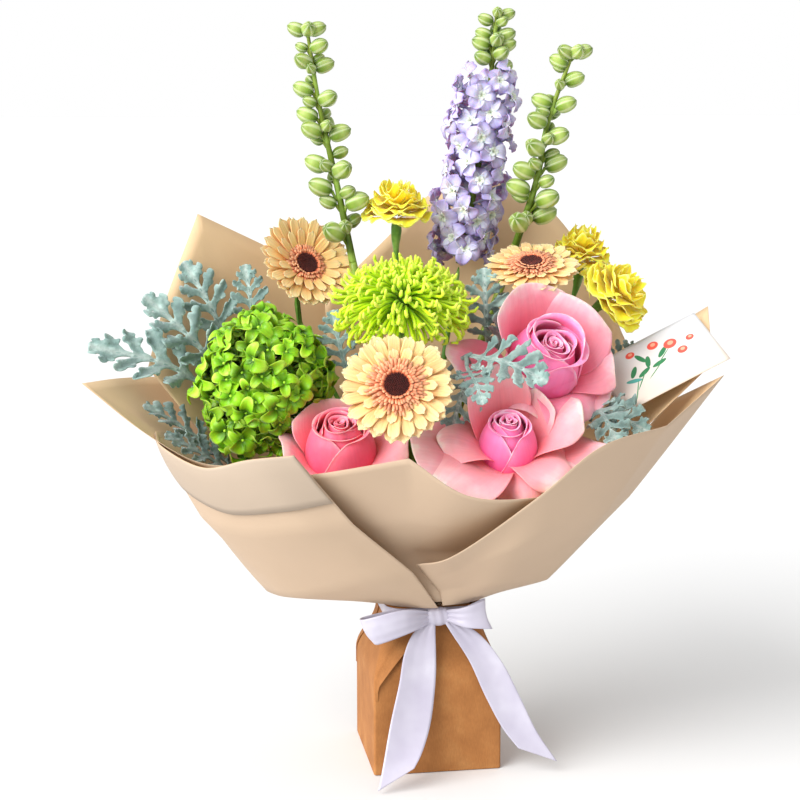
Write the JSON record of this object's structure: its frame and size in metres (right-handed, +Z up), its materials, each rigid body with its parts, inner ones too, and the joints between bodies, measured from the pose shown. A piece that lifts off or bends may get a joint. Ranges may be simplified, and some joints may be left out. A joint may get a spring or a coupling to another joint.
{
  "type": "flower bouquet",
  "caption": "Mixed cut-flower bouquet in layered matt paper, standing in a tapered kraft-card carry box tied with a satin ribbon bow, with a greeting card.",
  "frame": {"origin": "middle of the carry box's floor, on the surface it stands on", "axes": "+Z up along the box; -Y is the front wall, with the bow; the bouquet is turned 9 degrees on its box"},
  "size_m": [0.5585, 0.2984, 0.6807],
  "materials": {
    "kraft": "brown uncoated kraft card",
    "paper": "matt beige wrapping paper",
    "card": "white coated card with a printed front",
    "satin": "white woven satin ribbon",
    "film": "clear soft film",
    "water": "clear water",
    "twine": "twisted plant-fibre twine",
    "stem": "fresh green stems and cups",
    "rose": "pink rose petals",
    "peach": "peach gerbera rays",
    "coral": "coral disc florets",
    "eye": "dark red-brown disc florets",
    "lime": "lime-green chrysanthemum florets",
    "hydrangea": "green hydrangea florets",
    "carnation": "yellow carnation petals",
    "bud": "pale green buds and stem",
    "lilac": "lilac florets with white centres",
    "dusty_miller": "grey-green felted leaves"
  },
  "bodies": {
    "root": {"rose_left_bloom": "rose", "rose_left_stem": "stem", "rose_front_bloom": "rose", "rose_front_stem": "stem", "rose_right_bloom": "rose", "rose_right_stem": "stem", "gerbera_front_rays": "peach", "gerbera_front_crown": "coral", "gerbera_front_eye": "eye", "gerbera_front_stem": "stem", "gerbera_left_rays": "peach", "gerbera_left_crown": "coral", "gerbera_left_eye": "eye", "gerbera_left_stem": "stem", "gerbera_right_rays": "peach", "gerbera_right_crown": "coral", "gerbera_right_eye": "eye", "gerbera_right_stem": "stem", "chrysanthemum_bloom": "lime", "chrysanthemum_stem": "stem", "hydrangea_head": "hydrangea", "carnation_top_bloom": "carnation", "carnation_top_stem": "stem", "carnation_right_bloom": "carnation", "carnation_right_stem": "stem", "carnation_back_bloom": "carnation", "carnation_back_stem": "stem", "delphinium_left": "bud", "delphinium_right": "bud", "delphinium_open_florets": "lilac", "delphinium_open_tip": "bud", "delphinium_open_stem": "stem", "hydrangea_stem": "stem", "dusty_miller_left_long": "dusty_miller", "dusty_miller_left_upper": "dusty_miller", "dusty_miller_left_inner": "dusty_miller", "dusty_miller_left_low": "dusty_miller", "dusty_miller_left_lowest": "dusty_miller", "dusty_miller_middle": "dusty_miller", "dusty_miller_behind_mum": "dusty_miller", "dusty_miller_under_gerbera": "dusty_miller", "dusty_miller_front": "dusty_miller", "dusty_miller_right": "dusty_miller", "dusty_miller_right_back": "dusty_miller", "twine_tie": "twine", "paper_left_front": "paper", "paper_left_wing": "paper", "paper_front": "paper", "paper_right_front": "paper", "paper_right": "paper", "paper_left_back": "paper", "paper_back": "paper", "greeting_card": "card", "carry_box": "kraft", "water_bag": "film", "water": "water", "ribbon_band": "satin", "ribbon_bow": "satin"}
  },
  "joints": []
}
